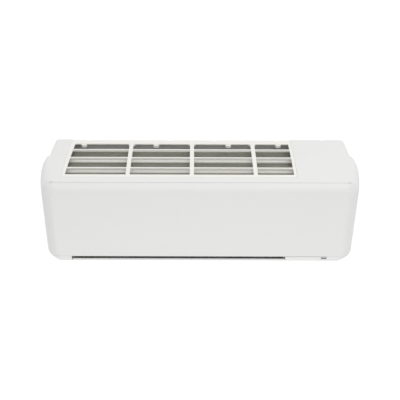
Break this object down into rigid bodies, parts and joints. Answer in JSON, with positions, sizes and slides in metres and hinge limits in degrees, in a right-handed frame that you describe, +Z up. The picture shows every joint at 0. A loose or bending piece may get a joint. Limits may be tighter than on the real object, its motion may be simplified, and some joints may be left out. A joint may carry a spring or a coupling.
{
  "type": "mini split indoor unit",
  "caption": "Wall-hung air conditioner indoor unit with a smooth swing-up front panel, a top inlet grille and an outlet vane below.",
  "frame": {"origin": "on the wall face, at the centre of the back of the mounting plate", "axes": "+X to the right as seen from the room, +Y into the wall, +Z up"},
  "size_m": [0.831, 0.2245, 0.298],
  "materials": {
    "shell_white": "satin moulded plastic",
    "panel_white": "satin moulded plastic",
    "grille_white": "satin moulded plastic, slightly warm",
    "louvre_white": "matte moulded plastic",
    "inner_ivory": "matte moulded plastic",
    "chassis_plastic": "matte moulded plastic",
    "motor_housing": "resin moulded motor housing",
    "button_grey": "matte moulded plastic",
    "dark_plastic": "matte moulded plastic",
    "window_black": "glossy infrared window",
    "lens_white": "glossy translucent strip",
    "filter_netting": "fine woven netting",
    "plated_steel": "zinc plated sheet",
    "fin_aluminium": "thin coated fins",
    "copper": "drawn copper tube",
    "brass": "turned brass",
    "bearing_rubber": "moulded rubber",
    "board_green": "coated circuit board"
  },
  "bodies": {
    "unit": {"mounting_plate": "plated_steel", "rear_chassis": "chassis_plastic", "front_casing": "shell_white", "inlet_grille": "grille_white", "display_lens": "lens_white", "receiver_window": "window_black", "filter_frame_left": "inner_ivory", "filter_frame_right": "inner_ivory", "filter_mesh_left": "filter_netting", "filter_mesh_right": "filter_netting", "evaporator_rear": "fin_aluminium", "evaporator_upper": "fin_aluminium", "evaporator_front": "fin_aluminium", "refrigerant_coil": "copper", "coil_bracket_left": "plated_steel", "coil_bracket_right": "plated_steel", "gas_pipe": "copper", "liquid_pipe": "copper", "gas_flare_nut": "brass", "liquid_flare_nut": "brass", "pipe_clamp": "dark_plastic", "fan_bearing": "bearing_rubber", "fan_motor": "motor_housing", "motor_clamp": "plated_steel", "drain_pan": "inner_ivory", "louvre_rail": "inner_ivory", "swing_motor": "dark_plastic", "vane_motor": "dark_plastic", "control_box": "chassis_plastic", "control_box_cover": "plated_steel", "control_board": "board_green", "terminal_block": "dark_plastic", "switch_board": "board_green", "casing_screw_left": "plated_steel", "casing_screw_right": "plated_steel"},
    "front_panel": {"front_panel": "panel_white"},
    "vane": {"vane": "panel_white"},
    "fan": {"cross_flow_fan": "dark_plastic", "fan_shaft": "plated_steel", "motor_shaft": "plated_steel"},
    "swing_crank": {"swing_crank": "inner_ivory"},
    "link_bar": {"link_bar": "inner_ivory"},
    "louvre_1": {"louvre_1": "louvre_white"},
    "louvre_2": {"louvre_2": "louvre_white"},
    "louvre_3": {"louvre_3": "louvre_white"},
    "louvre_4": {"louvre_4": "louvre_white"},
    "louvre_5": {"louvre_5": "louvre_white"},
    "louvre_6": {"louvre_6": "louvre_white"},
    "louvre_7": {"louvre_7": "louvre_white"},
    "louvre_8": {"louvre_8": "louvre_white"},
    "louvre_9": {"louvre_9": "louvre_white"},
    "louvre_10": {"louvre_10": "louvre_white"},
    "emergency_button": {"emergency_button": "button_grey"}
  },
  "joints": [
    {"name": "front_panel_hinge", "type": "hinge", "parent": "unit", "child": "front_panel", "pos_m": [0, -0.2105, 0.09603], "axis": [-1, 0, 0], "range_deg": [0, 60]},
    {"name": "vane_hinge", "type": "hinge", "parent": "unit", "child": "vane", "pos_m": [0, -0.1374, -0.13904], "axis": [1, 0, 0], "range_deg": [0, 75]},
    {"name": "fan_spin", "type": "hinge", "parent": "unit", "child": "fan", "pos_m": [0, -0.105, -0.052], "axis": [1, 0, 0], "continuous": true},
    {"name": "louvre_swing", "type": "hinge", "parent": "unit", "child": "swing_crank", "pos_m": [0.252, -0.1745, -0.085], "axis": [0, -0.5, 0.866], "range_deg": [-30, 30]},
    {"name": "link_bar_pin", "type": "hinge", "parent": "swing_crank", "child": "link_bar", "pos_m": [0.252, -0.14638, -0.10571], "axis": [0, -0.5, 0.866], "range_deg": [-30, 30]},
    {"name": "louvre_1_pivot", "type": "hinge", "parent": "unit", "child": "louvre_1", "pos_m": [-0.315, -0.1745, -0.085], "axis": [0, -0.5, 0.866], "range_deg": [-30, 30]},
    {"name": "louvre_2_pivot", "type": "hinge", "parent": "unit", "child": "louvre_2", "pos_m": [-0.258, -0.1745, -0.085], "axis": [0, -0.5, 0.866], "range_deg": [-30, 30]},
    {"name": "louvre_3_pivot", "type": "hinge", "parent": "unit", "child": "louvre_3", "pos_m": [-0.201, -0.1745, -0.085], "axis": [0, -0.5, 0.866], "range_deg": [-30, 30]},
    {"name": "louvre_4_pivot", "type": "hinge", "parent": "unit", "child": "louvre_4", "pos_m": [-0.144, -0.1745, -0.085], "axis": [0, -0.5, 0.866], "range_deg": [-30, 30]},
    {"name": "louvre_5_pivot", "type": "hinge", "parent": "unit", "child": "louvre_5", "pos_m": [-0.087, -0.1745, -0.085], "axis": [0, -0.5, 0.866], "range_deg": [-30, 30]},
    {"name": "louvre_6_pivot", "type": "hinge", "parent": "unit", "child": "louvre_6", "pos_m": [-0.03, -0.1745, -0.085], "axis": [0, -0.5, 0.866], "range_deg": [-30, 30]},
    {"name": "louvre_7_pivot", "type": "hinge", "parent": "unit", "child": "louvre_7", "pos_m": [0.027, -0.1745, -0.085], "axis": [0, -0.5, 0.866], "range_deg": [-30, 30]},
    {"name": "louvre_8_pivot", "type": "hinge", "parent": "unit", "child": "louvre_8", "pos_m": [0.084, -0.1745, -0.085], "axis": [0, -0.5, 0.866], "range_deg": [-30, 30]},
    {"name": "louvre_9_pivot", "type": "hinge", "parent": "unit", "child": "louvre_9", "pos_m": [0.141, -0.1745, -0.085], "axis": [0, -0.5, 0.866], "range_deg": [-30, 30]},
    {"name": "louvre_10_pivot", "type": "hinge", "parent": "unit", "child": "louvre_10", "pos_m": [0.198, -0.1745, -0.085], "axis": [0, -0.5, 0.866], "range_deg": [-30, 30]},
    {"name": "emergency_button_press", "type": "slide", "parent": "unit", "child": "emergency_button", "axis": [0, 1, 0], "range_m": [0, 0.0015], "stiffness_N_per_m": 400, "springref_m": -0.001}
  ],
  "couplings": [
    {"joint": "link_bar_pin", "follows": "louvre_swing", "ratio": -1},
    {"joint": "louvre_1_pivot", "follows": "louvre_swing", "ratio": 1},
    {"joint": "louvre_2_pivot", "follows": "louvre_swing", "ratio": 1},
    {"joint": "louvre_3_pivot", "follows": "louvre_swing", "ratio": 1},
    {"joint": "louvre_4_pivot", "follows": "louvre_swing", "ratio": 1},
    {"joint": "louvre_5_pivot", "follows": "louvre_swing", "ratio": 1},
    {"joint": "louvre_6_pivot", "follows": "louvre_swing", "ratio": 1},
    {"joint": "louvre_7_pivot", "follows": "louvre_swing", "ratio": 1},
    {"joint": "louvre_8_pivot", "follows": "louvre_swing", "ratio": 1},
    {"joint": "louvre_9_pivot", "follows": "louvre_swing", "ratio": 1},
    {"joint": "louvre_10_pivot", "follows": "louvre_swing", "ratio": 1}
  ]
}
